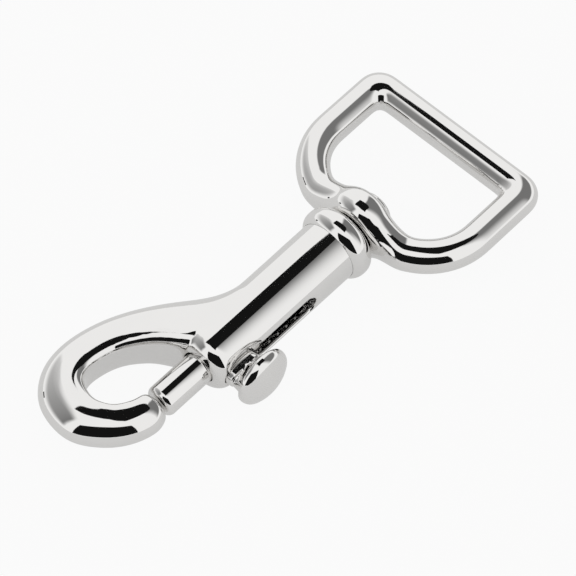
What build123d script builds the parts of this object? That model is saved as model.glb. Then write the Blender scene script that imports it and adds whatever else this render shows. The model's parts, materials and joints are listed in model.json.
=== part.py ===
"""Swivel snap hook for one-inch webbing: a cast hook with a spring bolt, and a D eye that turns on a rivet.

Sizes are millimetres. The model is built about the barrel's axis: +X runs from the hook's nose to the eye,
+Y to the open loop of the hook, +Z up. It is moved at the end so that its box stands centred on the origin.
"""

from build123d import *
import os
from math import copysign, cos, pi, radians, sin, tan

# driving dimensions
strap_width = 26.0  # clear width of the eye, for 25 mm webbing
strap_room = 15.0  # clear length of the eye beside its boss
ring_wire = 5.2  # width of the eye's round bar, in its plane
ring_height = 5.2  # the same bar's height
ring_flat = 0.03  # half the flat that is left along the round bar
ring_side_fillet = 8.0  # inner radius of the eye's shoulders
ring_corner = 1.1  # inner radius of the eye's corners at its bar
ring_outer_corner = 3.9  # outer radius there
shoulder_angle = 63.8  # slope of the eye's shoulders, in degrees
shoulder_foot = 8.9  # height at which the shoulders leave the eye's straight back
shoulder_thin = 0.6  # by which the bar is thinner there
foot_inner_radius = 1.8  # bends between the shoulders and the back
foot_outer_radius = 4.0
back_offset = 0.05  # of the eye's back from the middle of its boss
back_recess = 1.3  # by which the straps' room starts behind the back's inner side
boss_diameter = 12.6
boss_length = 5.9
boss_rounding = 2.4
boss_fillet = 2.4  # where the boss meets the round bar
barrel_diameter = 10.6
barrel_front = 16.1  # the barrel's mouth, ahead of the slot's middle
barrel_rear = 15.5
mouth_rounding = 2.4
gate_opening = 9.25  # from the barrel's mouth to the nose
hook_height = 6.8  # of the hook's rounded bar
nose_rounding = 1.5
bolt_diameter = 5.4
bolt_length = 20.0
bolt_edge = 0.8
bolt_travel = 13.2
slot_width = 3.4
scallop_radius = 11.5  # shallow hollow under the knob
scallop_depth = 1.0
knob_setback = 5.55  # from the barrel's mouth to the middle of the knob
knob_diameter = 10.0
knob_dome = 1.75
knob_rim = 1.35  # height of the knob's side, below its dome
knob_edge = 1.5  # rounding between the two
knob_lip = 0.4  # rounding of the knob's back edge
knob_standoff = 2.35  # from the barrel's surface to the knob's flat back
stem_length = 7.0
stem_lead = 0.9  # how far the stem's middle lies ahead of the knob's
stem_seat = 0.7  # depth of the flat on the bolt that the stem stands on
neck_height = 2.3  # of the flare between the stem and the knob
neck_inset = 0.15  # by which the flare starts inside the stem's outline
neck_spread = 0.88  # share of the knob's width that the flare reaches
neck_sink = 0.1  # by which the flare ends inside the knob
tenon_diameter = 2.6
tenon_depth = 3.6
cap_wall = 1.1  # of the collar, where it lies over the barrel
cap_length = 4.6
cap_overlap = 2.3  # how far the cap reaches over the barrel's end
cap_rounding = 2.1
rivet_diameter = 3.8
rivet_head_diameter = 6.2
rivet_head_height = 0.95
rivet_tail_height = 1.0
spring_wire = 0.55
spring_turns = 9.5

# clearances
running_gap = 0.08  # radial, between pieces that slide or turn
slot_gap = 0.1  # each side of the stem
seat_gap = 0.02  # radial, between pieces that are fixed together
tip_gap = 0.3  # between the bolt's tip and the nose
swivel_gap = 0.2  # each end of the boss
spring_gap = 0.05  # at each end of the spring
spring_room = 0.4  # radial, from the spring to the bolt's outline
tail_room = 0.2  # the same for the rivet's tail

# places along the axis, worked out from the values above
barrel_r = barrel_diameter / 2
cap_diameter = barrel_diameter + 2 * cap_wall
spring_diameter = bolt_diameter - 2 * spring_room
rivet_tail_diameter = bolt_diameter - 2 * tail_room
mouth_x = -barrel_front
nose_x = mouth_x - gate_opening
bolt_tip_x = nose_x + tip_gap
bolt_rear_x = bolt_tip_x + bolt_length
knob_x = mouth_x + knob_setback
stem_x = knob_x - stem_lead
stem_width = slot_width - 2 * slot_gap
slot_front_x = stem_x - stem_length / 2 - slot_gap
slot_rear_x = stem_x + stem_length / 2 + bolt_travel + slot_gap
cap_front_x = barrel_rear - cap_overlap
cap_rear_x = cap_front_x + cap_length
boss_rear_x = cap_rear_x + swivel_gap
boss_front_x = boss_rear_x + boss_length
rivet_head_x = boss_front_x + swivel_gap
tail_front_x = barrel_rear - rivet_tail_height
knob_back_y = -barrel_r - knob_standoff
stem_seat_y = bolt_diameter / 2 - stem_seat
bore_diameter = bolt_diameter + 2 * running_gap

# the hook's sections from the nose to the barrel: (outer x, outer y, inner x, inner y, height), where x is
# counted from the barrel's mouth
root = barrel_r
nose = -gate_opening
nose_bar = (nose, -2.85, nose, 2.15, 5.9)
hook_sections = [
    (nose - nose_rounding, -2.95, nose - nose_rounding, 2.2, 6.0),
    (nose - 3.35, -3.15, nose - 2.75, 2.45, 6.2),
    (nose - 7.15, -1.85, nose - 5.05, 3.75, 6.5),
    (nose - 10.85, 1.2, nose - 6.05, 5.2, hook_height),
    (nose - 13.7, 6.3, nose - 6.5, 7.2, hook_height),
    (nose - 12.5, 13.0, nose - 5.65, 9.7, hook_height),
    (nose - 7.95, 17.05, nose - 4.45, 10.8, hook_height),
    (-11.4, 18.05, -11.4, 11.1, hook_height),
    (-5.2, 16.85, -7.1, 10.05, 7.0),
    (0.3, 14.35, -3.4, 7.35, 7.7),
    (5.4, 10.85, -1.3, 4.4, 8.9),
    (9.3, root + 2.35, 0.4, 0.4, 2 * root - 0.6),
    (12.3, root + 0.55, 5.0, 1.0 - root, 2 * root - 0.4),
    (15.0, root - 0.15, 10.5, 0.9 - root, 2 * root - 0.6),
    (18.0, root - 0.5, 17.0, 1.0 - root, 2 * root - 1.0),
]
section_points = 20
inner_squareness = 4.5  # above 2 flattens the side of the bar that faces the loop
round_from = 3.4  # ahead of the barrel's mouth, where that side starts to round into the barrel
stem_squareness = 4.0  # the same for the knob's neck where it meets the stem
upright = (Align.CENTER, Align.CENTER, Align.MIN)


def rod(diameter, start, end):
    """A round bar on the axis between two places along it."""
    return Pos(start, 0, 0) * Rot(0, 90, 0) * Cylinder(diameter / 2, end - start, align=upright)


def stadium(length, width, depth_from, depth_to, at_x):
    """A straight-sided, round-ended block that stands on the barrel's -Y side."""
    outline = SlotOverall(length, width)
    block = extrude(outline, depth_to - depth_from)
    return Pos(at_x, -depth_from, 0) * Rot(90, 0, 0) * block


def end_edges(shape, at_x):
    """The edges that lie in the plane square to the axis at one place."""
    boxes = [(e, e.bounding_box()) for e in shape.edges()]
    return [e for e, box in boxes if abs(box.min.X - at_x) < 1e-4 and box.size.X < 1e-3]


def unit_loop(outer_squareness, inner_squareness):
    """Points round a closed loop of half-width 1: 2 gives a round half, and more a squarer one."""
    loop = []
    for i in range(section_points):
        across, up = cos(2 * pi * i / section_points), sin(2 * pi * i / section_points)
        power = 2 / (outer_squareness if across > 0 else inner_squareness)
        loop.append((copysign(abs(across) ** power, across), copysign(abs(up) ** power, up)))
    return loop


def smooth_loop(points):
    """A closed curve through the points."""
    steps = [i / len(points) for i in range(len(points) + 1)]
    return Wire(Edge.make_spline(points, periodic=True, parameters=steps))


def hook_section(outer_x, outer_y, inner_x, inner_y, height):
    """One upright section of the hook: round towards the outside, flatter towards the loop."""
    outer, inner = Vector(mouth_x + outer_x, outer_y), Vector(mouth_x + inner_x, inner_y)
    middle, reach = (outer + inner) / 2, (outer - inner) / 2
    free = min(1, max(0, -inner_x / round_from))
    loop = unit_loop(2, 2 + (inner_squareness - 2) * free)
    return smooth_loop([middle + reach * across + Vector(0, 0, up * height / 2) for across, up in loop])


def nose_sections():
    """The sections that round the nose off, from its flat end back to the full bar."""
    outer_x, outer_y, inner_x, inner_y, height = nose_bar
    sections = []
    for turn in (0, 22, 45, 67):
        back = nose_rounding - nose_rounding * cos(radians(turn))
        shrink = nose_rounding * (1 - sin(radians(turn)))
        tip = (outer_x - back, outer_y + shrink, inner_x - back, inner_y - shrink, height - 2 * shrink)
        sections.append(tip)
    return sections


def make_hook_body():
    """The casting: hook, barrel, bore, knob slot and the hollow under the knob."""
    hook = Solid.make_loft([hook_section(*s) for s in nose_sections() + hook_sections])
    barrel = rod(barrel_diameter, mouth_x, barrel_rear)
    barrel = fillet(end_edges(barrel, mouth_x), mouth_rounding)
    body = hook + barrel
    body -= rod(bore_diameter, mouth_x - gate_opening / 2, barrel_rear + 1)
    slot_length = slot_rear_x - slot_front_x
    body -= stadium(slot_length, slot_width, 0, 2 * barrel_r, slot_front_x + slot_length / 2)
    scallop_y = scallop_depth - barrel_r - scallop_radius
    body -= Pos(knob_x, scallop_y, 0) * Cylinder(scallop_radius, barrel_diameter)
    return body


def make_bolt():
    """The sliding bolt, with a flat seat and a hole for the knob's stem."""
    bolt = rod(bolt_diameter, bolt_tip_x, bolt_rear_x)
    bolt = fillet(end_edges(bolt, bolt_tip_x), bolt_edge)
    seat = stadium(stem_length + 2 * seat_gap, stem_width + 2 * seat_gap, stem_seat_y, bolt_diameter, stem_x)
    hole = tenon(tenon_diameter + 2 * seat_gap, tenon_depth + seat_gap)
    return bolt - seat - hole


def tenon(diameter, depth):
    """A round peg or hole that runs from the stem's seat into the bolt."""
    peg = Cylinder(diameter / 2, depth, align=(Align.CENTER, Align.CENTER, Align.MAX))
    return Pos(stem_x, -stem_seat_y, 0) * Rot(90, 0, 0) * peg


def make_thumb_knob():
    """The domed button, its stem through the slot and the tenon that is pressed into the bolt."""
    r = knob_diameter / 2
    top = knob_rim + knob_dome
    dome_r = (r**2 + knob_dome**2) / (2 * knob_dome)
    dome = RadiusArc((0, top), (r, knob_rim), dome_r)
    profile = make_face(dome + Polyline((r, knob_rim), (r, 0), (0, 0), (0, top)))
    corners = profile.vertices().sort_by(Axis.X)[-2:].sort_by(Axis.Y)
    profile = fillet(corners[1], knob_edge)
    profile = fillet(profile.vertices().sort_by(Axis.Y)[:2].sort_by(Axis.X)[-1], knob_lip)
    head = revolve(Plane.XZ * profile, Axis.Z)
    head = Pos(knob_x, knob_back_y, 0) * Rot(90, 0, 0) * head
    neck_y = knob_standoff + barrel_r - neck_height
    stem = stadium(stem_length, stem_width, stem_seat_y, neck_y + neck_height / 5, stem_x)
    return head + knob_neck() + stem + tenon(tenon_diameter, tenon_depth)


def knob_neck():
    """The flare that carries the stem smoothly out to the knob's back."""
    sections = []
    for share in (0, 0.25, 0.5, 0.75, 1):
        out = 1 - cos(share * pi / 2)
        half_x = (1 - out) * (stem_length / 2 - neck_inset) + out * neck_spread * knob_diameter / 2
        half_z = (1 - out) * (stem_width / 2 - neck_inset) + out * neck_spread * knob_diameter / 2
        at_x = (1 - out) * stem_x + out * knob_x
        at_y = knob_back_y + (1 - share) * neck_height - neck_sink * share
        squareness = (1 - out) * stem_squareness + out * 2
        loop = unit_loop(squareness, squareness)
        points = [Vector(at_x + across * half_x, at_y, up * half_z) for across, up in loop]
        sections.append(smooth_loop(points))
    return Solid.make_loft(sections)


def make_end_cap():
    """The collar that is staked over the barrel's rear end and carries the rivet."""
    cap = rod(cap_diameter, cap_front_x, cap_rear_x)
    cap = fillet(end_edges(cap, cap_front_x) + end_edges(cap, cap_rear_x), cap_rounding)
    cap -= rod(barrel_diameter + 2 * seat_gap, cap_front_x - 1, barrel_rear)
    return cap - rod(rivet_diameter + 2 * seat_gap, cap_front_x, cap_rear_x + 1)


def make_swivel_rivet():
    """The rivet that the eye turns on: domed head inside the eye, upset tail inside the barrel."""
    head = rod(rivet_head_diameter, rivet_head_x, rivet_head_x + rivet_head_height)
    head = fillet(end_edges(head, rivet_head_x + rivet_head_height), rivet_head_height * 0.7)
    tail = rod(rivet_tail_diameter, tail_front_x, barrel_rear)
    return head + rod(rivet_diameter, tail_front_x, rivet_head_x + rivet_head_height / 2) + tail


def ring_outline(side_y, bar_x, back_x, foot_y, radii):
    """One closed outline of the eye: a straight bar and sides, sloping shoulders and a straight back."""
    slope = tan(radians(shoulder_angle))
    shoulder_x = back_x + (side_y - foot_y) / slope
    half = [(bar_x, side_y), (shoulder_x, side_y), (back_x, foot_y)]
    other = [(x, -y) for x, y in reversed(half)]
    path = FilletPolyline(*half, *other, radius=radii + radii[::-1], close=True)
    return make_face(path)


def make_swivel_eye():
    """The D eye: a round bar bent to a D, with a bored boss in the middle of its back."""
    back = boss_rear_x + boss_length / 2 - ring_wire / 2 + back_offset
    inner_back = back + ring_wire
    bar_in = inner_back + back_recess + strap_room
    half_width = strap_width / 2
    turn = radians(shoulder_angle)
    foot_shift = ring_wire / 2 * tan((pi / 2 - turn) / 2)
    outer_radii = [ring_outer_corner, ring_side_fillet + ring_wire, foot_outer_radius]
    inner_radii = [ring_corner, ring_side_fillet, foot_inner_radius]
    outer_foot, inner_foot = shoulder_foot + foot_shift, shoulder_foot - foot_shift - shoulder_thin
    outer = ring_outline(half_width + ring_wire, bar_in + ring_wire, back, outer_foot, outer_radii)
    inner = ring_outline(half_width, bar_in, inner_back, inner_foot, inner_radii)
    ring = extrude(outer - inner, ring_height / 2, both=True)
    edges = [e for e in ring.edges() if abs(abs(e.center().Z) - ring_height / 2) < 1e-4]
    ring = fillet(edges, ring_height / 2 - ring_flat)
    boss = rod(boss_diameter, boss_rear_x, boss_front_x)
    boss = fillet(end_edges(boss, boss_rear_x) + end_edges(boss, boss_front_x), boss_rounding)
    joined = ring + boss
    curved = [e for e in joined.edges() if e.geom_type not in (GeomType.CIRCLE, GeomType.LINE)]
    seams = [e for e in curved if abs(e.center().Y) < boss_diameter]
    joined = fillet(seams, boss_fillet)
    return joined - rod(rivet_diameter + 2 * running_gap, boss_rear_x - 1, boss_front_x + 1)


def make_bolt_spring():
    """The coil that pushes the bolt shut, between the bolt's rear and the rivet's tail."""
    radius = (spring_diameter - spring_wire) / 2
    start = bolt_rear_x + spring_wire / 2 + spring_gap
    end = tail_front_x - spring_wire / 2 - spring_gap
    path = Helix(pitch=(end - start) / spring_turns, height=end - start, radius=radius)
    wire = Plane(origin=path @ 0, z_dir=path % 0) * Circle(spring_wire / 2)
    return Pos(start, 0, 0) * Rot(0, 90, 0) * sweep(wire, path=path)


nodes = {
    "hook_body": make_hook_body(),
    "end_cap": make_end_cap(),
    "swivel_rivet": make_swivel_rivet(),
    "swivel_eye": make_swivel_eye(),
    "bolt": make_bolt(),
    "thumb_knob": make_thumb_knob(),
    "bolt_spring": make_bolt_spring(),
}
box = Compound(children=[Compound(s.solids()) for s in nodes.values()]).bounding_box()
stand = Pos(-box.center().X, -box.center().Y, -box.min.Z)
os.makedirs("parts", exist_ok=True)
for name, shape in nodes.items():
    export_step(stand * Compound(shape.solids()), f"parts/{name}.step")
print("axis moved by", stand.position, "box", box.size)
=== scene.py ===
"""Looks of a swivel snap hook: cast, turned and coiled pieces in bright nickel, round its fixed frame.

Every piece is modelled in metres about the barrel's axis, which runs along X: the hook's nose is at the
low end and the strap eye at the high end, the open loop of the hook lies towards +Y and the thumb knob
towards -Y.
"""

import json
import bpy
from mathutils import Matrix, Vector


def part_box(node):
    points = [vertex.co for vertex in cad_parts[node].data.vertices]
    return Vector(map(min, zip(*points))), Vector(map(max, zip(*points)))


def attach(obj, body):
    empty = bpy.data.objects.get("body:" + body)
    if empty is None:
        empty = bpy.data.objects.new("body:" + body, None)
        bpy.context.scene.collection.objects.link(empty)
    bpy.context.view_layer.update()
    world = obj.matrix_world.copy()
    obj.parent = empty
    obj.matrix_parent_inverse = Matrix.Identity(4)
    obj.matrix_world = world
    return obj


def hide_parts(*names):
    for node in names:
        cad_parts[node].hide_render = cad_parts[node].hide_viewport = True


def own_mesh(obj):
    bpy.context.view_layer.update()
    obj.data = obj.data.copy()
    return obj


bl_info = {
    "name": "Swivel Snap Hook",
    "version": (1, 0, 0),
    "blender": (4, 5, 0),
    "location": "View3D > Sidebar > Snap Hook",
    "description": "Models a swivel snap hook with a spring bolt and a strap eye, and its studio",
    "category": "Add Mesh",
}

from collections import namedtuple
from math import atan2, cos, degrees, pi, radians, sin, sqrt, tan

import bmesh
import bpy
from bpy.props import FloatProperty, FloatVectorProperty, PointerProperty
from mathutils import Matrix, Vector

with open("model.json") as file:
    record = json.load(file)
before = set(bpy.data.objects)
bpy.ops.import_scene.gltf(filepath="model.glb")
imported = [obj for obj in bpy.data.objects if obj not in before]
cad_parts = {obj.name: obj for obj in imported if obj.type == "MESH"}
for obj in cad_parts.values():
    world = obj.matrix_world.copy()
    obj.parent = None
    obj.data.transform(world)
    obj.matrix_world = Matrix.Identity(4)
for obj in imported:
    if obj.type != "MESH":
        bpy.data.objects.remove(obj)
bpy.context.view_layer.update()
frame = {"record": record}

MM = 0.001
CONTACT_ROOM = 0.02 * MM  # between pieces that are pressed together
CASTING_GRAIN = 0.2 * MM
BODY_OF = {node: body for body, nodes in frame["record"]["behaviour"]["bodies"].items() for node in nodes}
hook_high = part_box("hook_body")[1]
cap_low, cap_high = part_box("end_cap")
rivet_low, rivet_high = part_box("swivel_rivet")
eye_low, eye_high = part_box("swivel_eye")
bolt_low, bolt_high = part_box("bolt")
knob_low, knob_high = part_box("thumb_knob")
spring_low, spring_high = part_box("bolt_spring")
AXIS_Z = (cap_low.z + cap_high.z) / 2
Section = namedtuple("Section", "centre angle reach height")

# where the bar flows into the barrel, in mm from the mouth and from the axis
WEB_SPOTS = ((-0.6, 5.0), (2.2, 6.0), (5.5, 6.8), (11.0, 6.0), (14.0, 5.3), (17.0, 5.0), (20.0, 5.0))
WEB_FADE = 3.4 * MM
WEB_STRENGTH = 1.6  # above 1, so that the middle of a web is rubbed in full
BORE_WALL_RADIUS = 3.2  # in mm from the axis, up to which the rubbing leaves the casting alone


class SnapHookSizes(bpy.types.PropertyGroup):
    """Sizes of the cast hook, its barrel and what slides in it"""

    barrel_diameter: FloatProperty(
        name="Barrel diameter", description="Outside of the barrel", default=10.6 * MM, unit="LENGTH"
    )
    barrel_length: FloatProperty(
        name="Barrel length", description="From the mouth to the rear end", default=31.6 * MM, unit="LENGTH"
    )
    mouth_rounding: FloatProperty(
        name="Mouth rounding", description="Radius round the barrel's mouth",
        default=2.4 * MM, unit="LENGTH"
    )
    bore_diameter: FloatProperty(
        name="Bore", description="Inside of the barrel", default=5.56 * MM, unit="LENGTH"
    )
    gate_opening: FloatProperty(
        name="Gate", description="From the barrel's mouth to the nose", default=9.25 * MM, unit="LENGTH"
    )
    nose_rounding: FloatProperty(
        name="Nose rounding", description="Radius round the nose's end", default=1.5 * MM, unit="LENGTH"
    )
    inner_squareness: FloatProperty(
        name="Inner squareness", description="Above 2 flattens the hook's inner side", default=4.5
    )
    crest_shift: FloatProperty(
        name="Crest shift", description="Of the bar's highest line, towards its inner side", default=0.3
    )
    slot_width: FloatProperty(
        name="Slot width", description="Width of the knob's slot", default=3.4 * MM, unit="LENGTH"
    )
    slot_length: FloatProperty(
        name="Slot length", description="Length of the knob's slot", default=20.4 * MM, unit="LENGTH"
    )
    slot_setback: FloatProperty(
        name="Slot setback", description="From the mouth to the slot", default=1.05 * MM, unit="LENGTH"
    )
    hollow_radius: FloatProperty(
        name="Hollow radius", description="Of the hollow under the knob", default=11.5 * MM, unit="LENGTH"
    )
    hollow_depth: FloatProperty(
        name="Hollow depth", description="Of the hollow under the knob", default=1.0 * MM, unit="LENGTH"
    )
    bolt_edge: FloatProperty(
        name="Bolt edge", description="Rounding of the bolt's tip", default=1.0 * MM, unit="LENGTH"
    )
    spring_wire: FloatProperty(
        name="Spring wire", description="Wire of the bolt's spring", default=0.55 * MM, unit="LENGTH"
    )
    spring_turns: FloatProperty(name="Spring turns", description="Turns of the bolt's spring", default=9.5)


class SnapHookEyeSizes(bpy.types.PropertyGroup):
    """Sizes of the strap eye, the collar and the rivet"""

    bar: FloatProperty(
        name="Bar", description="Thickness of the eye's bar", default=5.2 * MM, unit="LENGTH"
    )
    side_radius: FloatProperty(
        name="Side radius", description="Inner radius of the shoulders", default=8.0 * MM, unit="LENGTH"
    )
    corner_inner: FloatProperty(
        name="Corner, inside", description="Inner radius at the far bar", default=1.1 * MM, unit="LENGTH"
    )
    corner_outer: FloatProperty(
        name="Corner, outside", description="Outer radius at the far bar", default=3.9 * MM, unit="LENGTH"
    )
    shoulder_slope: FloatProperty(
        name="Shoulder slope", description="Slope of the shoulders", default=radians(63.8), subtype="ANGLE"
    )
    shoulder_foot: FloatProperty(
        name="Shoulder foot", description="Where the shoulders leave the back",
        default=8.9 * MM, unit="LENGTH"
    )
    foot_inset: FloatProperty(
        name="Foot inset", description="Of the inner outline's foot from the outer one's",
        default=0.6 * MM, unit="LENGTH"
    )
    foot_inner: FloatProperty(
        name="Foot, inside", description="Inner radius at the shoulder's foot",
        default=1.8 * MM, unit="LENGTH"
    )
    foot_outer: FloatProperty(
        name="Foot, outside", description="Outer radius at the shoulder's foot",
        default=4.0 * MM, unit="LENGTH"
    )
    boss_diameter: FloatProperty(
        name="Boss diameter", description="Of the bored boss", default=12.6 * MM, unit="LENGTH"
    )
    boss_length: FloatProperty(
        name="Boss length", description="Of the bored boss", default=5.9 * MM, unit="LENGTH"
    )
    boss_rounding: FloatProperty(
        name="Boss rounding", description="Rounding of the boss's rims", default=2.4 * MM, unit="LENGTH"
    )
    cap_length: FloatProperty(
        name="Collar length", description="Of the collar over the barrel's end",
        default=4.6 * MM, unit="LENGTH"
    )
    cap_rounding: FloatProperty(
        name="Collar rounding", description="Rounding of the collar's rims", default=2.1 * MM, unit="LENGTH"
    )
    rivet_diameter: FloatProperty(
        name="Rivet diameter", description="Shank that the eye turns on", default=3.8 * MM, unit="LENGTH"
    )
    rivet_head: FloatProperty(
        name="Rivet head height", description="Of the low domed head", default=0.95 * MM, unit="LENGTH"
    )
    tail_diameter: FloatProperty(
        name="Rivet tail diameter", description="Of the upset tail", default=5.0 * MM, unit="LENGTH"
    )
    tail_height: FloatProperty(
        name="Rivet tail height", description="Of the upset tail", default=1.0 * MM, unit="LENGTH"
    )
    rivet_room: FloatProperty(
        name="Rivet room", description="Round the shank, in the boss", default=0.08 * MM, unit="LENGTH"
    )


class SnapHookKnobSizes(bpy.types.PropertyGroup):
    """Sizes of the thumb knob, its neck and its stem"""

    standoff: FloatProperty(
        name="Standoff", description="From the barrel to the knob's back", default=2.35 * MM, unit="LENGTH"
    )
    rim: FloatProperty(
        name="Rim", description="Height of the rim under the dome", default=1.35 * MM, unit="LENGTH"
    )
    dome: FloatProperty(
        name="Dome", description="Height of the dome over the rim", default=1.75 * MM, unit="LENGTH"
    )
    edge: FloatProperty(
        name="Edge rounding", description="Between the rim and the dome", default=1.5 * MM, unit="LENGTH"
    )
    lip: FloatProperty(
        name="Lip rounding", description="Between the rim and the knob's back",
        default=0.4 * MM, unit="LENGTH"
    )
    neck_length: FloatProperty(
        name="Neck length", description="Of the neck's foot, along the bolt",
        default=6.7 * MM, unit="LENGTH"
    )
    neck_width: FloatProperty(
        name="Neck width", description="Of the neck's foot, across the bolt",
        default=2.9 * MM, unit="LENGTH"
    )
    neck_height: FloatProperty(
        name="Neck height", description="From its foot to the knob's back", default=2.3 * MM, unit="LENGTH"
    )
    neck_flare: FloatProperty(
        name="Neck flare", description="Share of the knob's radius that the neck grows to", default=0.88
    )
    stem_length: FloatProperty(
        name="Stem length", description="Of the stem in the slot, along the bolt",
        default=7.0 * MM, unit="LENGTH"
    )
    stem_width: FloatProperty(
        name="Stem width", description="Of the stem in the slot, across the bolt",
        default=3.2 * MM, unit="LENGTH"
    )
    stem_shift: FloatProperty(
        name="Stem shift", description="From the knob's middle towards the nose",
        default=0.9 * MM, unit="LENGTH"
    )
    stem_start: FloatProperty(
        name="Stem start", description="From the axis to the stem's inner end",
        default=2.0 * MM, unit="LENGTH"
    )
    stem_above: FloatProperty(
        name="Stem above", description="From the barrel to the stem's outer end",
        default=0.5 * MM, unit="LENGTH"
    )
    seat_depth: FloatProperty(
        name="Seat depth", description="Of the stem's seat in the bolt", default=0.7 * MM, unit="LENGTH"
    )


class SnapHookFinish(bpy.types.PropertyGroup):
    """The bright plating and the steel of the spring"""

    nickel: FloatVectorProperty(
        name="Nickel", description="Colour of the plating", default=(0.83, 0.822, 0.81), subtype="COLOR"
    )
    steel: FloatVectorProperty(
        name="Spring steel", description="Colour of the spring", default=(0.46, 0.45, 0.44), subtype="COLOR"
    )
    gloss: FloatProperty(name="Plating roughness", description="0 is a perfect mirror", default=0.035)


# ---- modelling helpers


def put_down():
    """Back to object mode with nothing selected."""
    if bpy.context.object and bpy.context.object.mode != "OBJECT":
        bpy.ops.object.mode_set(mode="OBJECT")
    bpy.ops.object.select_all(action="DESELECT")


def first_ring(name, centre, around, rotation, filled=True):
    """A ring one millimetre in radius, the first section of a piece, in edit mode and all selected."""
    put_down()
    fill = "NGON" if filled else "NOTHING"
    place = {"location": centre, "rotation": rotation}
    bpy.ops.mesh.primitive_circle_add(vertices=around, radius=MM, fill_type=fill, **place)
    piece = bpy.context.object
    piece.name = piece.data.name = name
    bpy.ops.object.transform_apply(location=True, rotation=True, scale=True)
    bpy.ops.object.mode_set(mode="EDIT")
    bpy.ops.mesh.select_all(action="SELECT")
    return piece


def turn(angle, centre):
    """Turns what is selected about the vertical through centre. Windowless, the operator turns backwards."""
    bpy.ops.transform.rotate(value=-angle, orient_axis="Z", center_override=centre)


def push(offset):
    """Extrudes what is selected by an offset."""
    bpy.ops.mesh.extrude_region_move(TRANSFORM_OT_translate={"value": offset})


def close_ends(piece):
    """Joins the first and last rings of a loop, and points all faces outwards."""
    bpy.ops.mesh.select_all(action="DESELECT")
    bpy.ops.mesh.select_non_manifold()
    bpy.ops.mesh.bridge_edge_loops()
    return face_outwards(piece)


def face_outwards(piece):
    """Points every face outwards and leaves edit mode."""
    bpy.ops.mesh.select_all(action="SELECT")
    bpy.ops.mesh.normals_make_consistent(inside=False)
    bpy.ops.object.mode_set(mode="OBJECT")
    return piece


def turned(name, profile, start=(0, 0, AXIS_Z), along=(1, 0, 0), around=96, ring=False):
    """Turns a piece on a lathe. Profile rows are (distance along the axis, radius), and a ring closes."""
    start, along = Vector(start), Vector(along)
    rotation = (0, pi / 2, 0) if along.x else (pi / 2, 0, 0)
    (at, radius), rest = profile[0], profile[1:]
    piece = first_ring(name, start + along * at, around, rotation, filled=not ring)
    scale_ring(along, radius / MM, start + along * at)
    for next_at, next_radius in rest:
        push(along * (next_at - at))
        scale_ring(along, next_radius / radius, start + along * next_at)
        at, radius = next_at, next_radius
    return close_ends(piece) if ring else face_outwards(piece)


def scale_ring(along, factor, centre):
    """Scales the selected ring in its own plane."""
    value = (1, factor, factor) if along.x else (factor, 1, factor)
    bpy.ops.transform.resize(value=value, center_override=centre)


def arc(middle_at, middle_radius, radius, first, last, steps=10):
    """Profile rows along an arc, from one angle to another, in degrees from the axis."""
    rows = []
    for step in range(steps + 1):
        angle = radians(first + (last - first) * step / steps)
        rows.append((middle_at + radius * cos(angle), middle_radius + radius * sin(angle)))
    return rows


def section(outer, inner, height):
    """An upright section of a bar between its outer and inner edge."""
    reach = Vector(outer) - Vector(inner)
    middle = (Vector(outer) + Vector(inner)) / 2
    return Section(Vector((*middle, AXIS_Z)), atan2(reach.y, reach.x), reach.length / 2, height)


def swept(name, sections, around=80, squareness=2.0, crest=0.0, ring=False):
    """Draws a round bar through its sections. Squareness above 2 flattens its inner side, and crest is the
    share of its half-width by which its highest line lies nearer to that side."""
    first = sections[0]
    piece = first_ring(name, first.centre, around, (pi / 2, 0, 0), filled=not ring)
    flatten_inner_side(piece, first.centre, squareness)
    shift_crest(piece, first.centre, crest)
    bpy.ops.mesh.select_all(action="SELECT")
    size = (first.reach / MM, 1, first.height / 2 / MM)
    bpy.ops.transform.resize(value=size, center_override=first.centre)
    turn(first.angle, first.centre)
    for before, now in zip(sections, sections[1:]):
        push(now.centre - before.centre)
        turn(-before.angle, now.centre)
        stretch = (now.reach / before.reach, 1, now.height / before.height)
        bpy.ops.transform.resize(value=stretch, center_override=now.centre)
        turn(now.angle, now.centre)
    return close_ends(piece) if ring else face_outwards(piece)


def flatten_inner_side(piece, centre, squareness):
    """Moves the low-X half of the first ring out to a squarer curve, one vertex at a time."""
    if squareness <= 2:
        return
    ring = bmesh.from_edit_mesh(piece.data)
    for vert in list(ring.verts):
        along, up = (centre.x - vert.co.x) / MM, abs(vert.co.z - centre.z) / MM
        if along < 0.01 or up < 0.01:
            continue
        factor = (along**squareness + up**squareness) ** (-1 / squareness)
        bpy.ops.mesh.select_all(action="DESELECT")
        vert.select_set(True)
        bpy.ops.transform.resize(value=(factor,) * 3, center_override=centre)


def shift_crest(piece, centre, crest):
    """Widens the outer half of the first ring and narrows the inner one."""
    ring = bmesh.from_edit_mesh(piece.data)
    for side in (-1, 1):
        bpy.ops.mesh.select_all(action="DESELECT")
        for vert in ring.verts:
            if (vert.co.x - centre.x) * side > MM / 100:
                vert.select_set(True)
        bpy.ops.transform.resize(value=(1 + side * crest, 1, 1), center_override=centre)
    bpy.ops.mesh.select_all(action="SELECT")
    bpy.ops.transform.translate(value=(-crest * MM, 0, 0))


def between(rows, steps):
    """Adds smooth in-between rows to a list of rows of numbers."""
    last = len(rows) - 1
    finer = []
    for i in range(last):
        four = [rows[max(0, min(last, i + k))] for k in (-1, 0, 1, 2)]
        for step in range(steps):
            t = step / steps
            finer.append([blend_four(*numbers, t) for numbers in zip(*four)])
    return finer + [rows[-1]]


def eased(rows, passes):
    """Evens out rows of numbers, which takes the kinks out of a bar. The first and last row stay."""
    for _ in range(passes):
        threes = zip(rows, rows[1:], rows[2:])
        middle = [[(a + 2 * b + c) / 4 for a, b, c in zip(*three)] for three in threes]
        rows = [rows[0], *middle, rows[-1]]
    return rows


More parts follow.
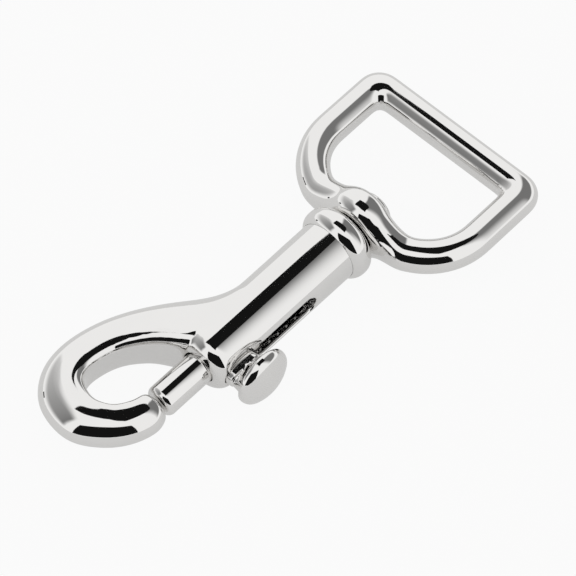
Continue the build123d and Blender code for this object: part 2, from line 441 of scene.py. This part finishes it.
def blend_four(a, b, c, d, t):
    """A number between b and c, on a smooth curve that also heeds their neighbours a and d."""
    return b + 0.5 * t * (c - a + t * (2 * a - 5 * b + 4 * c - d + t * (3 * (b - c) + d - a)))


def apply_modifier(piece, kind, **settings):
    """Adds a modifier, sets it and applies it."""
    put_down()
    bpy.context.view_layer.objects.active = piece
    piece.select_set(True)
    modifier = piece.modifiers.new(kind.title(), kind)
    for key, value in settings.items():
        setattr(modifier, key, value)
    bpy.ops.object.modifier_apply(modifier=modifier.name)


def combine(piece, other, operation):
    """Adds the other solid to the piece, or cuts it away, and removes the other."""
    apply_modifier(piece, "BOOLEAN", operation=operation, object=other, solver="MANIFOLD")
    bpy.data.objects.remove(other)


def cast(piece, grain, rounds):
    """Remeshes a cast shape evenly and rubs it smooth, which rounds its edges and seams."""
    apply_modifier(piece, "REMESH", mode="VOXEL", voxel_size=grain)
    rub(piece, rounds)


def rub(piece, rounds, group=""):
    """Rubs a piece smooth, all of it or only where a vertex group says so."""
    apply_modifier(piece, "SMOOTH", factor=0.5, iterations=rounds, vertex_group=group)


def group_near(piece, name, weight):
    """A vertex group whose weight is worked out from each vertex's place."""
    group = piece.vertex_groups.new(name=name)
    for vert in piece.data.vertices:
        group.add([vert.index], min(1.0, max(0.0, weight(vert.co))), "REPLACE")
    return name


def stadium(name, middle, length, width, depth_from, depth_to):
    """A straight-sided, round-ended block standing towards -Y, to cut slots and seats with."""
    piece = first_ring(name, middle + Vector((0, -depth_from, 0)), 48, (pi / 2, 0, 0))
    bpy.ops.transform.resize(value=(width / 2 / MM, 1, width / 2 / MM), center_override=middle)
    ring = bmesh.from_edit_mesh(piece.data)
    for side in (-1, 1):
        bpy.ops.mesh.select_all(action="DESELECT")
        for vert in ring.verts:
            vert.select_set((vert.co.x - middle.x) * side > 1e-7)
        bpy.ops.transform.translate(value=(side * (length - width) / 2, 0, 0))
    bpy.ops.mesh.select_all(action="SELECT")
    push((0, depth_from - depth_to, 0))
    return face_outwards(piece)


def finish_piece(piece, node, material, edge_angle=35):
    """Gives a piece its material, shading and body, and puts it in the place of its node."""
    put_down()
    bpy.context.view_layer.objects.active = piece
    piece.select_set(True)
    bpy.ops.object.shade_smooth_by_angle(angle=radians(edge_angle))
    piece.data.materials.clear()
    piece.data.materials.append(material)
    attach(piece, BODY_OF[node])
    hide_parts(node)
    return piece


# ---- materials


def plated(name, colour, roughness, grain_scale=900):
    """Bright plating over a cast or turned surface: faint waviness, and gloss that varies a little."""
    material = bpy.data.materials.get(name)
    if material:
        return material
    material = bpy.data.materials.new(name)
    material.use_nodes = True
    nodes, links = material.node_tree.nodes, material.node_tree.links
    shader = nodes["Principled BSDF"]
    shader.inputs["Metallic"].default_value = 1.0
    place = nodes.new("ShaderNodeTexCoord")
    wave, fine = nodes.new("ShaderNodeTexNoise"), nodes.new("ShaderNodeTexNoise")
    for noise, scale, detail in ((wave, grain_scale / 4, 2), (fine, grain_scale, 4)):
        noise.inputs["Scale"].default_value = scale
        noise.inputs["Detail"].default_value = detail
        links.new(place.outputs["Object"], noise.inputs["Vector"])
    tint = nodes.new("ShaderNodeValToRGB")
    tint.color_ramp.elements[0].color = (*[c * 0.975 for c in colour], 1)
    tint.color_ramp.elements[1].color = (*colour, 1)
    gloss = nodes.new("ShaderNodeMapRange")
    gloss.inputs["To Min"].default_value = roughness * 0.7
    gloss.inputs["To Max"].default_value = roughness * 1.4
    bump = nodes.new("ShaderNodeBump")
    bump.inputs["Strength"].default_value = 0.04
    bump.inputs["Distance"].default_value = 0.02 * MM
    links.new(wave.outputs["Fac"], tint.inputs["Fac"])
    links.new(tint.outputs["Color"], shader.inputs["Base Color"])
    links.new(fine.outputs["Fac"], gloss.inputs["Value"])
    links.new(gloss.outputs["Result"], shader.inputs["Roughness"])
    links.new(wave.outputs["Fac"], bump.inputs["Height"])
    links.new(bump.outputs["Normal"], shader.inputs["Normal"])
    return material


def nickel():
    """The bright nickel that covers all that shows."""
    finish = bpy.context.scene.snap_hook_finish
    return plated("bright_nickel", finish.nickel, finish.gloss)


def spring_steel():
    """Drawn steel wire."""
    steel = bpy.context.scene.snap_hook_finish.steel
    return plated("spring_steel", steel, roughness=0.22, grain_scale=2500)


# ---- the cast hook


def hook_bar(sizes, mouth_x):
    """The hook's bar, from its nose round to the barrel."""
    gate, rounding = sizes.gate_opening / MM, sizes.nose_rounding / MM
    root = sizes.barrel_diameter / 2 / MM
    end_outer, end_inner, end_height = -2.85, 2.15, 5.9
    nose = []
    for angle in range(0, 90, 15):
        back = rounding * (1 - cos(radians(angle)))
        shrink = rounding * (1 - sin(radians(angle)))
        nose_outer, nose_inner = end_outer + shrink, end_inner - shrink
        nose.append((-gate - back, nose_outer, -gate - back, nose_inner, end_height - 2 * shrink))
    # outer x and y, inner x and y, and height, in mm from the mouth and from the axis
    rows = [
        (-gate - rounding, -2.95, -gate - rounding, 2.2, 6.0),
        (-12.6, -3.15, -12.0, 2.45, 6.2),
        (-16.4, -1.85, -14.3, 3.75, 6.5),
        (-20.1, 1.2, -15.3, 5.2, 6.8),
        (-22.95, 6.3, -15.75, 7.2, 6.8),
        (-21.75, 13.0, -14.9, 9.7, 6.8),
        (-17.2, 17.05, -13.7, 10.8, 6.8),
        (-11.4, 18.05, -11.4, 11.1, 6.8),
        (-5.2, 16.85, -7.1, 10.05, 7.0),
        (0.3, 14.35, -3.4, 7.35, 7.7),
        (5.4, 10.85, -1.3, 4.4, 8.9),
        (9.3, root + 2.35, 0.9, 1.2, 2 * root - 0.7),
        (12.3, root + 0.55, 5.4, 0.4, 2 * root - 0.8),
        (15.0, root - 0.25, 10.8, 0.4, 2 * root - 1.4),
        (18.0, root - 0.9, 17.0, 0.4, 2 * root - 2.4),
    ]
    sections = []
    rows = eased(between(rows, steps=9), passes=8)
    for outer_x, outer_y, inner_x, inner_y, height in nose + rows:
        outer = (mouth_x + outer_x * MM, outer_y * MM)
        inner = (mouth_x + inner_x * MM, inner_y * MM)
        sections.append(section(outer, inner, height * MM))
    return swept("hook_bar", sections, squareness=sizes.inner_squareness, crest=sizes.crest_shift)


def web_weight(place, mouth_x):
    """How much a place of the casting belongs to the web between bar and barrel. The bore is left alone."""
    spots = [Vector((mouth_x + x * MM, y * MM, AXIS_Z)) for x, y in WEB_SPOTS]
    near = min((place - spot).length for spot in spots)
    off_axis = Vector((place.y, place.z - AXIS_Z)).length
    return (WEB_STRENGTH - near / WEB_FADE) * min(1, max(0, off_axis / MM - BORE_WALL_RADIUS))


class SNAPHOOK_OT_hook_body(bpy.types.Operator):
    """Model the casting: hook, barrel, bore, slot and the hollow under the knob"""

    bl_idname = "snaphook.hook_body"
    bl_label = "Hook and Barrel"

    def execute(self, context):
        sizes = context.scene.snap_hook_sizes
        radius, rounding = sizes.barrel_diameter / 2, sizes.mouth_rounding
        rear_x = hook_high.x
        mouth_x = rear_x - sizes.barrel_length
        body = hook_bar(sizes, mouth_x)
        profile = arc(mouth_x + rounding, radius - rounding, rounding, 180, 90) + [(rear_x, radius)]
        combine(body, turned("barrel", profile, around=180), "UNION")
        bore = sizes.bore_diameter / 2
        bore_profile = [(mouth_x - sizes.gate_opening / 2, bore), (rear_x + MM, bore)]
        combine(body, turned("bore", bore_profile), "DIFFERENCE")
        slot_middle = Vector((mouth_x + sizes.slot_setback + sizes.slot_length / 2, 0, AXIS_Z))
        slot = stadium("slot", slot_middle, sizes.slot_length, sizes.slot_width, 0, 2 * radius)
        combine(body, slot, "DIFFERENCE")
        knob_x = (knob_low.x + knob_high.x) / 2
        hollow_y = sizes.hollow_depth - radius - sizes.hollow_radius
        hollow_profile = [(-radius, sizes.hollow_radius), (radius, sizes.hollow_radius)]
        hollow = turned("hollow", hollow_profile, start=(0, 0, 0), around=160)
        stand_up(hollow, Vector((knob_x, hollow_y, AXIS_Z)))
        combine(body, hollow, "DIFFERENCE")
        cast(body, CASTING_GRAIN, rounds=24)
        web = group_near(body, "web", lambda place: web_weight(place, mouth_x))
        rub(body, rounds=110, group=web)
        finish_piece(body, "hook_body", nickel())
        body.name = body.data.name = "cast_hook"
        return {"FINISHED"}


def stand_up(piece, place):
    """Turns a piece modelled along X upright and moves it into place, in its mesh."""
    piece.rotation_euler = (0, pi / 2, 0)
    piece.location = place
    put_down()
    bpy.context.view_layer.objects.active = piece
    piece.select_set(True)
    bpy.ops.object.transform_apply(location=True, rotation=True, scale=True)


# ---- collar, rivet and eye


class SNAPHOOK_OT_end_cap(bpy.types.Operator):
    """Model the collar over the barrel's rear end, with its staked front rim"""

    bl_idname = "snaphook.end_cap"
    bl_label = "Collar"

    def execute(self, context):
        sizes, barrel = context.scene.snap_hook_eye, context.scene.snap_hook_sizes
        radius, rounding = (cap_high.z - cap_low.z) / 2, sizes.cap_rounding
        rear, front = cap_high.x, cap_high.x - sizes.cap_length
        seat = barrel.barrel_diameter / 2 + CONTACT_ROOM
        lip = seat - radius + rounding
        lip_angle = 180 - degrees(atan2(lip, sqrt(rounding**2 - lip**2)))
        profile = arc(front + rounding, radius - rounding, rounding, lip_angle, 90, 14)
        profile += arc(rear - rounding, radius - rounding, rounding, 90, 0, 14)
        hole = sizes.rivet_diameter / 2 + CONTACT_ROOM
        profile += [(rear, hole), (hook_high.x, hole), (hook_high.x, seat)]
        cap = turned("staked_collar", profile, around=144, ring=True)
        finish_piece(cap, "end_cap", nickel())
        return {"FINISHED"}


class SNAPHOOK_OT_swivel_rivet(bpy.types.Operator):
    """Model the rivet: tail, shank and low domed head"""

    bl_idname = "snaphook.swivel_rivet"
    bl_label = "Rivet"

    def execute(self, context):
        sizes = context.scene.snap_hook_eye
        head_radius = (rivet_high.z - rivet_low.z) / 2
        head_x = rivet_high.x - sizes.rivet_head
        tail, shank = sizes.tail_diameter / 2, sizes.rivet_diameter / 2
        rounding = sizes.rivet_head * 0.7
        profile = [(rivet_low.x, tail), (rivet_low.x + sizes.tail_height, tail)]
        profile += [(rivet_low.x + sizes.tail_height, shank), (head_x, shank), (head_x, head_radius)]
        profile += arc(rivet_high.x - rounding, head_radius - rounding, rounding, 90, 0)
        rivet = turned("domed_rivet", profile)
        finish_piece(rivet, "swivel_rivet", nickel())
        return {"FINISHED"}


def rounded_outline(corners, radii, steps):
    """Points round a closed outline whose corners are arcs, the same number at each corner."""
    points = []
    count = len(corners)
    for i, (corner, radius) in enumerate(zip(corners, radii)):
        corner = Vector(corner)
        before = (Vector(corners[i - 1]) - corner).normalized()
        after = (Vector(corners[(i + 1) % count]) - corner).normalized()
        half = before.angle(after) / 2
        middle = corner + (before + after).normalized() * radius / sin(half)
        start = corner + before * radius / tan(half) - middle
        end = corner + after * radius / tan(half) - middle
        sweep = start.angle_signed(end)
        for step in range(steps + 1):
            points.append(middle + rotated(start, -sweep * step / steps))
    return points


def rotated(vector, angle):
    """A flat vector turned anticlockwise."""
    right, up = cos(angle), sin(angle)
    return Vector((vector.x * right - vector.y * up, vector.x * up + vector.y * right))


def eye_outline(side_y, bar_x, back_x, foot_y, radii, slope):
    """One outline of the eye: far bar, sides, sloping shoulders and straight back."""
    shoulder_x = back_x + (side_y - foot_y) / tan(slope)
    half = [(bar_x, side_y), (shoulder_x, side_y), (back_x, foot_y)]
    corners = half + [(x, -y) for x, y in reversed(half)]
    return rounded_outline(corners, radii + radii[::-1], steps=14)


def flared(outer, inner, sizes):
    """The bar's sections, thicker where its back runs into the boss."""
    rubbed = 0.11 * MM  # what the smoothing takes off again
    thicker, taller = 0.5 * MM, 1.1  # of the back, where it meets the boss
    parts = 16
    half = len(outer) // 2
    feet = [(outer[half - 1], outer[half]), (inner[half - 1], inner[half])]
    shares = [step / parts for step in range(1, parts)]
    backs = [[start.lerp(end, share) for share in shares] for start, end in feet]
    outer = outer[:half] + backs[0] + outer[half:]
    inner = inner[:half] + backs[1] + inner[half:]
    sections = []
    for out, into in zip(outer, inner):
        at_back = out.x < eye_low.x + 2 * sizes.bar
        near = max(0.0, 1 - abs(out.y) / (sizes.shoulder_foot + sizes.bar / 2)) if at_back else 0.0
        swell = near * near * (3 - 2 * near)
        more = Vector((thicker * swell, 0))
        bar = section(out - more / 2, into + more, sizes.bar * (1 + taller * swell))
        sections.append(bar._replace(reach=bar.reach + rubbed, height=bar.height + 2 * rubbed))
    return sections


def seam_weight(place):
    """How much a place of the eye belongs to the seams where its back runs into the boss."""
    seam_y, reach, back_end_x = 6.0 * MM, 4.5 * MM, 30 * MM
    return WEB_STRENGTH * (1 - abs(abs(place.y) - seam_y) / reach) * (place.x < back_end_x)


class SNAPHOOK_OT_swivel_eye(bpy.types.Operator):
    """Model the strap eye: a round bar bent to a D that flows into a bored boss"""

    bl_idname = "snaphook.swivel_eye"
    bl_label = "Strap Eye"

    def execute(self, context):
        sizes = context.scene.snap_hook_eye
        boss_x, half_boss = eye_low.x + sizes.boss_length / 2, sizes.boss_length / 2
        bar, bar_forward = sizes.bar, 0.05 * MM
        back = boss_x - bar / 2 + bar_forward
        side, slope = eye_high.y, sizes.shoulder_slope
        shift = bar / 2 * tan((pi / 2 - slope) / 2)
        outer_radii = [sizes.corner_outer, sizes.side_radius + bar, sizes.foot_outer]
        inner_radii = [sizes.corner_inner, sizes.side_radius, sizes.foot_inner]
        outer_foot, inner_foot = sizes.shoulder_foot + shift, sizes.shoulder_foot - shift - sizes.foot_inset
        outer = eye_outline(side, eye_high.x, back, outer_foot, outer_radii, slope)
        inner = eye_outline(side - bar, eye_high.x - bar, back + bar, inner_foot, inner_radii, slope)
        eye = swept("strap_eye", flared(outer, inner, sizes), ring=True)
        radius, rounding = sizes.boss_diameter / 2, sizes.boss_rounding
        profile = arc(boss_x - half_boss + rounding, radius - rounding, rounding, 180, 90)
        profile += arc(boss_x + half_boss - rounding, radius - rounding, rounding, 90, 0)
        combine(eye, turned("boss", profile), "UNION")
        cast(eye, CASTING_GRAIN, rounds=60)
        rub(eye, rounds=160, group=group_near(eye, "web", seam_weight))
        hole = sizes.rivet_diameter / 2 + sizes.rivet_room
        hole_profile = [(eye_low.x - MM, hole), (eye_low.x + sizes.boss_length + MM, hole)]
        combine(eye, turned("hole", hole_profile), "DIFFERENCE")
        finish_piece(eye, "swivel_eye", nickel())
        return {"FINISHED"}


# ---- bolt, knob and spring


class SNAPHOOK_OT_bolt(bpy.types.Operator):
    """Model the sliding bolt, with the seat for the knob's stem"""

    bl_idname = "snaphook.bolt"
    bl_label = "Bolt"

    def execute(self, context):
        radius, edge = (bolt_high.z - bolt_low.z) / 2, context.scene.snap_hook_sizes.bolt_edge
        rear_edge = edge / 4
        profile = arc(bolt_low.x + edge, radius - edge, edge, 180, 90)
        profile += arc(bolt_high.x - rear_edge, radius - rear_edge, rear_edge, 90, 0, 4)
        bolt = turned("sliding_bolt", profile)
        knob = context.scene.snap_hook_knob
        stem_middle = Vector(((knob_low.x + knob_high.x) / 2 - knob.stem_shift, 0, AXIS_Z))
        length, width = knob.stem_length + 2 * CONTACT_ROOM, knob.stem_width + 2 * CONTACT_ROOM
        seat = stadium("seat", stem_middle, length, width, radius - knob.seat_depth, 2 * radius)
        combine(bolt, seat, "DIFFERENCE")
        finish_piece(bolt, "bolt", nickel())
        return {"FINISHED"}


class SNAPHOOK_OT_thumb_knob(bpy.types.Operator):
    """Model the domed thumb knob, its flared neck and its stem"""

    bl_idname = "snaphook.thumb_knob"
    bl_label = "Thumb Knob"

    def execute(self, context):
        sizes = context.scene.snap_hook_knob
        barrel_radius = context.scene.snap_hook_sizes.barrel_diameter / 2
        radius = (knob_high.x - knob_low.x) / 2
        middle = Vector(((knob_low.x + knob_high.x) / 2, 0, AXIS_Z))
        stem_middle = middle - Vector((sizes.stem_shift, 0, 0))
        back_y, dome, edge, lip = barrel_radius + sizes.standoff, sizes.dome, sizes.edge, sizes.lip
        dome_radius = (radius**2 + dome**2) / (2 * dome)
        dome_at = sizes.rim + dome - dome_radius
        edge_at = dome_at + sqrt((dome_radius - edge) ** 2 - (radius - edge) ** 2)
        meet = degrees(atan2(radius - edge, edge_at - dome_at))
        profile = arc(lip, radius - lip, lip, 180, 90, 6) + arc(edge_at, radius - edge, edge, 90, meet, 8)
        profile += arc(dome_at, 0, dome_radius, meet, 0.5, 14)[1:]
        back = middle + Vector((0, -back_y, 0))
        knob = turned("thumb_knob_casting", profile, start=back, along=(0, -1, 0))
        combine(knob, knob_neck(sizes, stem_middle, middle, back_y), "UNION")
        stem_end = barrel_radius + sizes.stem_above
        stem = stadium("stem", stem_middle, sizes.stem_length, sizes.stem_width, sizes.stem_start, stem_end)
        combine(knob, stem, "UNION")
        cast(knob, 0.6 * CASTING_GRAIN, rounds=6)
        finish_piece(knob, "thumb_knob", nickel())
        return {"FINISHED"}


def knob_neck(sizes, stem_middle, middle, back_y):
    """The flare between the stem and the knob's back."""
    steps, foot_height, into_knob, roundness = 8, 0.2 * MM, 0.1 * MM, 0.35
    height = sizes.neck_height
    wide_end = sizes.neck_flare * (knob_high.x - knob_low.x) / 2
    foot_y = back_y - height
    neck = stadium("neck", stem_middle, sizes.neck_length, sizes.neck_width, foot_y - foot_height, foot_y)
    bpy.ops.object.mode_set(mode="EDIT")
    bpy.ops.mesh.select_all(action="DESELECT")
    mesh = bmesh.from_edit_mesh(neck.data)
    mesh.faces.ensure_lookup_table()
    for face in mesh.faces:
        if face.normal.y < -0.9:
            face.select_set(True)
    centre = stem_middle - Vector((0, foot_y, 0))
    for step in range(1, steps + 1):
        out = 1 - cos(step / steps * pi / 2)
        now = stem_middle.lerp(middle, out) - Vector((0, foot_y + (height + into_knob) * step / steps, 0))
        push(now - centre)
        bpy.ops.transform.tosphere(value=roundness if step < steps else 1.0)
        ring = [v.co for v in bmesh.from_edit_mesh(neck.data).verts if v.select]
        half_x = (1 - out) * sizes.neck_length / 2 + out * wide_end
        half_z = (1 - out) * sizes.neck_width / 2 + out * wide_end
        wide, high = max(abs(p.x - now.x) for p in ring), max(abs(p.z - now.z) for p in ring)
        bpy.ops.transform.resize(value=(half_x / wide, 1, half_z / high), center_override=now)
        centre = now
    return face_outwards(neck)


class SNAPHOOK_OT_bolt_spring(bpy.types.Operator):
    """Model the coil spring behind the bolt"""

    bl_idname = "snaphook.bolt_spring"
    bl_label = "Bolt Spring"

    def execute(self, context):
        sizes = context.scene.snap_hook_sizes
        wire = sizes.spring_wire / 2
        reach = (spring_high.z - spring_low.z) / 2 - wire
        length = spring_high.x - spring_low.x - 2 * wire
        start = Vector((spring_low.x + wire, 0, AXIS_Z + reach))
        spring = first_ring("coil_spring", start, 10, (pi / 2, 0, 0), filled=False)
        bpy.ops.transform.resize(value=(wire / MM, 1, wire / MM), center_override=start)
        bpy.ops.object.mode_set(mode="OBJECT")
        bpy.context.scene.cursor.location = (0, 0, AXIS_Z)
        spring.data.transform(axis_shift(-AXIS_Z))
        angle, steps = 2 * pi * sizes.spring_turns, int(28 * sizes.spring_turns)
        winding = {"angle": angle, "screw_offset": length, "steps": steps, "render_steps": steps}
        apply_modifier(spring, "SCREW", axis="X", **winding)
        spring.data.transform(axis_shift(AXIS_Z))
        bpy.ops.object.mode_set(mode="EDIT")
        bpy.ops.mesh.select_all(action="DESELECT")
        bpy.ops.mesh.select_non_manifold()
        bpy.ops.mesh.edge_face_add()
        face_outwards(spring)
        finish_piece(spring, "bolt_spring", spring_steel())
        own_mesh(spring)
        return {"FINISHED"}


def axis_shift(height):
    """A move up or down, to bring the barrel's axis to the X axis and back."""
    return Matrix.Translation((0, 0, height))


# ---- the studio


def end_in_mix(material, factor, first, second):
    """Ends a material in a mix of two shaders."""
    nodes, links = material.node_tree.nodes, material.node_tree.links
    mix = nodes.new("ShaderNodeMixShader")
    for output, socket in zip((factor, first, second), mix.inputs):
        links.new(output, socket)
    links.new(mix.outputs[0], nodes["Material Output"].inputs["Surface"])


def card_surface(name, near, far, softness):
    """A card that glows from one grey to another along its width, and fades out towards its edges."""
    material = bpy.data.materials.new(name)
    material.use_nodes = True
    nodes, links = material.node_tree.nodes, material.node_tree.links
    nodes.remove(nodes["Principled BSDF"])
    place = nodes.new("ShaderNodeTexCoord")
    split = nodes.new("ShaderNodeSeparateXYZ")
    links.new(place.outputs["UV"], split.inputs[0])
    grey = nodes.new("ShaderNodeMapRange")
    grey.inputs["To Min"].default_value = near
    grey.inputs["To Max"].default_value = far
    links.new(split.outputs["X"], grey.inputs["Value"])
    glow = nodes.new("ShaderNodeEmission")
    links.new(grey.outputs["Result"], glow.inputs["Color"])
    fades = []
    for side, soft in zip(("X", "Y"), softness):
        fold = nodes.new("ShaderNodeMath")
        fold.operation = "PINGPONG"
        fold.inputs[1].default_value = 0.5
        links.new(split.outputs[side], fold.inputs[0])
        fade = nodes.new("ShaderNodeMapRange")
        fade.interpolation_type = "SMOOTHSTEP"
        fade.inputs["From Max"].default_value = max(soft, 0.001)
        links.new(fold.outputs[0], fade.inputs["Value"])
        fades.append(fade)
    both = nodes.new("ShaderNodeMath")
    both.operation = "MULTIPLY"
    for fade, socket in zip(fades, both.inputs):
        links.new(fade.outputs["Result"], socket)
    clear = nodes.new("ShaderNodeBsdfTransparent")
    end_in_mix(material, both.outputs[0], clear.outputs[0], glow.outputs[0])
    return material


def card(name, corners, near, far, softness=(0.0, 0.0)):
    """A studio card that only shows in reflections. Its corners run round from the near end's start, and
    its grey goes from near to far."""
    put_down()
    bpy.ops.mesh.primitive_plane_add(size=2)
    piece = bpy.context.object
    piece.name = name
    bpy.ops.object.mode_set(mode="EDIT")
    plane = bmesh.from_edit_mesh(piece.data)
    for start, place in zip(((-1, -1), (-1, 1), (1, 1), (1, -1)), corners):
        bpy.ops.mesh.select_all(action="DESELECT")
        vert = next(v for v in plane.verts if (v.co - Vector((*start, 0))).length < 0.01)
        vert.select_set(True)
        bpy.ops.transform.translate(value=Vector(place) - vert.co)
    bpy.ops.object.mode_set(mode="OBJECT")
    piece.data.materials.append(card_surface(name, near, far, softness))
    piece.visible_camera = piece.visible_diffuse = piece.visible_shadow = False


def towards(azimuth, zenith, distance=0.8):
    """A place in the studio, by its direction from the hook in degrees and its distance."""
    azimuth, zenith = radians(azimuth), radians(zenith)
    out = distance * sin(zenith)
    return out * cos(azimuth), out * sin(azimuth), distance * cos(zenith)


def band(first, last, top, bottom, distance=0.8):
    """The corners of a card between two azimuths and two zenith angles."""
    places = ((first, bottom), (first, top), (last, top), (last, bottom))
    return [towards(azimuth, zenith, distance) for azimuth, zenith in places]


def overhead(right, back, height=0.6):
    """A place on the overhead plane, by its slopes towards +X and +Y."""
    return right * height, back * height, height


def studio_cards():
    """The dark and grey cards that give bright plating its stripes."""
    black = 0.008
    top = (overhead(-0.05, -0.32), overhead(-0.1, 0.43), overhead(0.49, 0.437), overhead(0.5, -0.25))
    card("overhead_card", top, black, black)
    card("camera_side_card", band(181, 255, 42, 88), black, black)
    card("right_grey_card", band(20, -66, 24, 80), near=0.2, far=0.2, softness=(0.25, 0.1))
    card("left_grey_card", band(75, 165, 30, 86), near=0.75, far=0.15, softness=(0.12, 0.3))
    card("small_black_card", band(113, 121, 82, 88, distance=0.7), black, black)


def white_world():
    """An even white surround, which the plating reflects."""
    world = bpy.data.worlds.new("white_surround")
    bpy.context.scene.world = world
    world.use_nodes = True
    world.node_tree.nodes["Background"].inputs["Color"].default_value = (1, 1, 1, 1)
    world.node_tree.nodes["Background"].inputs["Strength"].default_value = 1.0


def pale_floor():
    """A wide matt floor under the hook, nearly white to the camera and in between for the plating."""
    white_to_camera, white_to_plating = 0.93, 0.5
    put_down()
    bpy.ops.mesh.primitive_plane_add(size=6)
    floor = bpy.context.object
    floor.name = "floor"
    material = bpy.data.materials.new("pale_floor")
    material.use_nodes = True
    nodes, links = material.node_tree.nodes, material.node_tree.links
    shader = nodes["Principled BSDF"]
    shader.inputs["Base Color"].default_value = (0.42, 0.42, 0.415, 1)
    shader.inputs["Roughness"].default_value = 0.9
    glow = nodes.new("ShaderNodeEmission")
    rays = nodes.new("ShaderNodeLightPath")
    share = nodes.new("ShaderNodeMath")
    share.operation = "MULTIPLY_ADD"
    share.inputs[1].default_value = white_to_camera
    mirrored = nodes.new("ShaderNodeMath")
    mirrored.operation = "MULTIPLY"
    mirrored.inputs[1].default_value = white_to_plating
    links.new(rays.outputs["Is Glossy Ray"], mirrored.inputs[0])
    links.new(mirrored.outputs[0], share.inputs[2])
    links.new(rays.outputs["Is Camera Ray"], share.inputs[0])
    end_in_mix(material, share.outputs[0], shader.outputs[0], glow.outputs[0])
    floor.data.materials.append(material)


class SNAPHOOK_OT_studio(bpy.types.Operator):
    """Set up the surround, the floor, the cards and the camera"""

    bl_idname = "snaphook.studio"
    bl_label = "Studio"

    def execute(self, context):
        scene = context.scene
        scene.view_settings.view_transform = "Standard"
        white_world()
        pale_floor()
        studio_cards()
        place_camera()
        return {"FINISHED"}


def place_camera():
    """A long lens, high over the knob's side, that looks down on the hook."""
    elevation, azimuth, distance = radians(56.8632), radians(47.1605), 662.66 * MM
    target = Vector((1.1503, -0.1336, 6.4)) * MM
    ahead = Vector((cos(elevation) * sin(azimuth), cos(elevation) * cos(azimuth), -sin(elevation)))
    data = bpy.data.cameras.new("camera")
    data.lens = 265.59
    data.sensor_width = 36
    camera = bpy.data.objects.new("camera", data)
    bpy.context.scene.collection.objects.link(camera)
    camera.location = target - ahead * distance
    camera.rotation_euler = ahead.to_track_quat("-Z", "Y").to_euler()
    bpy.context.scene.camera = camera


# ---- add-on


class SNAPHOOK_PT_panel(bpy.types.Panel):
    """Buttons for each piece, and the sizes and colours"""

    bl_label = "Snap Hook"
    bl_space_type = "VIEW_3D"
    bl_region_type = "UI"
    bl_category = "Snap Hook"

    def draw(self, context):
        for operator in OPERATORS:
            self.layout.operator(operator.bl_idname)
        for name in ("snap_hook_sizes", "snap_hook_eye", "snap_hook_knob", "snap_hook_finish"):
            group = getattr(context.scene, name)
            column = self.layout.column(heading=name)
            for key in group.bl_rna.properties.keys():
                if key not in ("rna_type", "name"):
                    column.prop(group, key)


OPERATORS = (
    SNAPHOOK_OT_studio,
    SNAPHOOK_OT_hook_body,
    SNAPHOOK_OT_end_cap,
    SNAPHOOK_OT_swivel_rivet,
    SNAPHOOK_OT_swivel_eye,
    SNAPHOOK_OT_bolt,
    SNAPHOOK_OT_thumb_knob,
    SNAPHOOK_OT_bolt_spring,
)
GROUPS = (SnapHookSizes, SnapHookEyeSizes, SnapHookKnobSizes, SnapHookFinish)
CLASSES = (*GROUPS, *OPERATORS, SNAPHOOK_PT_panel)


def register():
    """Registers the classes and their settings."""
    for cls in CLASSES:
        bpy.utils.register_class(cls)
    bpy.types.Scene.snap_hook_sizes = PointerProperty(type=SnapHookSizes)
    bpy.types.Scene.snap_hook_eye = PointerProperty(type=SnapHookEyeSizes)
    bpy.types.Scene.snap_hook_knob = PointerProperty(type=SnapHookKnobSizes)
    bpy.types.Scene.snap_hook_finish = PointerProperty(type=SnapHookFinish)


def unregister():
    """Removes them again."""
    del bpy.types.Scene.snap_hook_sizes
    del bpy.types.Scene.snap_hook_eye
    del bpy.types.Scene.snap_hook_knob
    del bpy.types.Scene.snap_hook_finish
    for cls in reversed(CLASSES):
        bpy.utils.unregister_class(cls)


def main():
    """Models everything, one operator at a time."""
    register()
    bpy.ops.snaphook.studio()
    bpy.ops.snaphook.hook_body()
    bpy.ops.snaphook.end_cap()
    bpy.ops.snaphook.swivel_rivet()
    bpy.ops.snaphook.swivel_eye()
    bpy.ops.snaphook.bolt()
    bpy.ops.snaphook.thumb_knob()
    bpy.ops.snaphook.bolt_spring()


if __name__ == "__main__":
    main()
